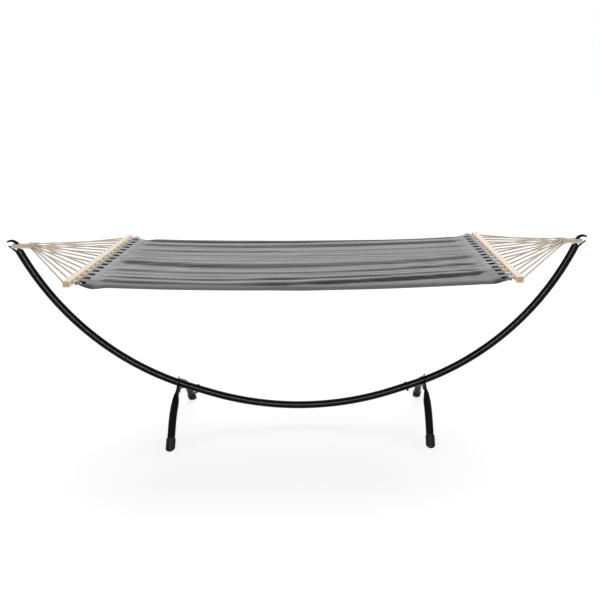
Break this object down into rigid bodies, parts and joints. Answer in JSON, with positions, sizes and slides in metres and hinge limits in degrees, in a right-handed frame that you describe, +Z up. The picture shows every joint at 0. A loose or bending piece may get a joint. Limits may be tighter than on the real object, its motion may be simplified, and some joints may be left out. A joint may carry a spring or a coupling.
{
  "type": "hammock on stand",
  "caption": "Spreader-bar hammock of grey woven cotton hung by fans of cord from the hooks of a one-tube black arc stand with arched legs.",
  "frame": {"origin": "middle of the footprint, on the ground plane", "axes": "+X along the stand towards the right hook, +Y across the stand towards the back legs, +Z up"},
  "size_m": [3.1256, 1.2, 1.0772],
  "materials": {
    "black_powder_coat": "smooth semi-gloss black powder coat on steel tube and plate",
    "black_fastener": "black-coated steel bolts, nuts and washers",
    "foot_plastic": "moulded black plastic, fine matt texture",
    "cotton_rope": "twisted undyed cotton cord, matt",
    "pine": "planed pale pine with a clear matt varnish",
    "charcoal_cotton": "woven charcoal cotton tape and braided charcoal cord, matt",
    "grey_canvas": "woven mid-grey cotton canvas, matt"
  },
  "bodies": {
    "stand": {"arc_tube_centre": "black_powder_coat", "arc_tube_left": "black_powder_coat", "arc_tube_right": "black_powder_coat", "arc_joint_bolts": "black_fastener", "arc_joint_nuts": "black_fastener", "arc_joint_washers": "black_fastener", "leg_bracket_left": "black_powder_coat", "leg_bracket_right": "black_powder_coat", "leg_front_left": "black_powder_coat", "leg_front_right": "black_powder_coat", "leg_back_left": "black_powder_coat", "leg_back_right": "black_powder_coat", "leg_bolts": "black_fastener", "leg_nuts": "black_fastener", "leg_washers": "black_fastener", "foot_cap_front_left": "foot_plastic", "foot_cap_front_right": "foot_plastic", "foot_cap_back_left": "foot_plastic", "foot_cap_back_right": "foot_plastic", "end_plate_left": "black_powder_coat", "end_plate_right": "black_powder_coat", "hook_left": "black_powder_coat", "hook_right": "black_powder_coat"},
    "bed": {"rope_eye_left": "cotton_rope", "rope_eye_right": "cotton_rope", "rope_whipping_left": "cotton_rope", "rope_whipping_right": "cotton_rope", "suspension_cords_left": "cotton_rope", "suspension_cords_right": "cotton_rope", "spreader_bar_left": "pine", "spreader_bar_right": "pine", "hem_loops_left": "cotton_rope", "hem_loops_right": "cotton_rope", "hem_cord_left": "charcoal_cotton", "hem_cord_right": "charcoal_cotton", "fabric_bed": "grey_canvas", "hem_tape_left": "charcoal_cotton", "hem_tape_right": "charcoal_cotton"}
  },
  "joints": [
    {"name": "bed_swing", "type": "hinge", "parent": "stand", "child": "bed", "pos_m": [0, 0, 1.043], "axis": [1, 0, 0], "range_deg": [-20, 20]}
  ]
}
